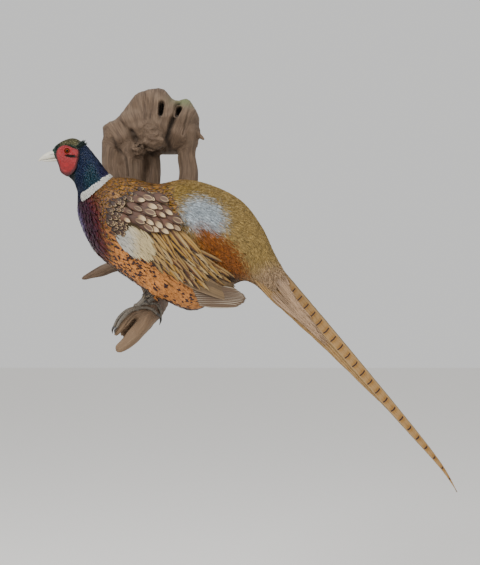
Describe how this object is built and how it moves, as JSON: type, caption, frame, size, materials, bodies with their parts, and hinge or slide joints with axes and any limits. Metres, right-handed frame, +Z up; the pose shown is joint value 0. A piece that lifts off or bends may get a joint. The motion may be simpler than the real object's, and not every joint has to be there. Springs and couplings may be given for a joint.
{
  "type": "mounted pheasant",
  "caption": "Taxidermy ring-necked cock pheasant perched on a driftwood wall mount, its long barred tail hanging down behind it.",
  "frame": {"origin": "hanging point on the flat back of the driftwood's crown, on the wall's plane", "axes": "+Z up, +Y into the wall, -X the way the bird faces; the wall is the plane Y = 0 and everything lies at negative Y"},
  "size_m": [0.6705, 0.2249, 0.665],
  "materials": {
    "head_plumage": "satin, dark bronze green with a gloss",
    "neck_plumage": "satin, dark blue-green with a gloss, and a white collar",
    "body_plumage": "satin, purple-copper breast, golden mantle and orange flanks with dark marks",
    "wing_plumage": "matte, cream and brown scales and streaks",
    "primary_plumage": "matte, grey-brown with pale bars",
    "rump_plumage": "matte, golden olive and grey-blue",
    "tail_plumage": "matte, tawny with black bars",
    "face_skin": "matte, papillose red skin",
    "eye_glass": "gloss, brown glass eye with a black pupil",
    "bill_horn": "satin ivory horn",
    "leg_scale": "matte grey-brown scales",
    "claw_horn": "satin dark horn",
    "driftwood": "matte weathered wood",
    "hanger_steel": "satin"
  },
  "bodies": {
    "root": {"bill_lower": "bill_horn", "bill_upper": "bill_horn", "claw_left_hind": "claw_horn", "claw_left_inner": "claw_horn", "claw_left_middle": "claw_horn", "claw_left_outer": "claw_horn", "claw_right_hind": "claw_horn", "claw_right_inner": "claw_horn", "claw_right_middle": "claw_horn", "claw_right_outer": "claw_horn", "driftwood_bough": "driftwood", "driftwood_crown": "driftwood", "driftwood_left_root": "driftwood", "driftwood_perch": "driftwood", "driftwood_right_root": "driftwood", "ear_tuft_left": "head_plumage", "ear_tuft_right": "head_plumage", "eye_left": "eye_glass", "eye_right": "eye_glass", "foot_left": "leg_scale", "foot_right": "leg_scale", "hanger_plate": "hanger_steel", "head": "head_plumage", "neck": "neck_plumage", "rump": "rump_plumage", "shank_left": "leg_scale", "shank_right": "leg_scale", "spur_left": "claw_horn", "spur_right": "claw_horn", "tail_centre_left": "tail_plumage", "tail_centre_right": "tail_plumage", "tail_fourth_left": "tail_plumage", "tail_fourth_right": "tail_plumage", "tail_outer_left": "tail_plumage", "tail_outer_right": "tail_plumage", "tail_second_left": "tail_plumage", "tail_second_right": "tail_plumage", "tail_third_left": "tail_plumage", "tail_third_right": "tail_plumage", "thigh_left": "body_plumage", "thigh_right": "body_plumage", "trunk": "body_plumage", "wattle_left": "face_skin", "wattle_right": "face_skin", "wing_left": "wing_plumage", "wing_left_primaries": "primary_plumage", "wing_right": "wing_plumage", "wing_right_primaries": "primary_plumage"}
  },
  "joints": []
}
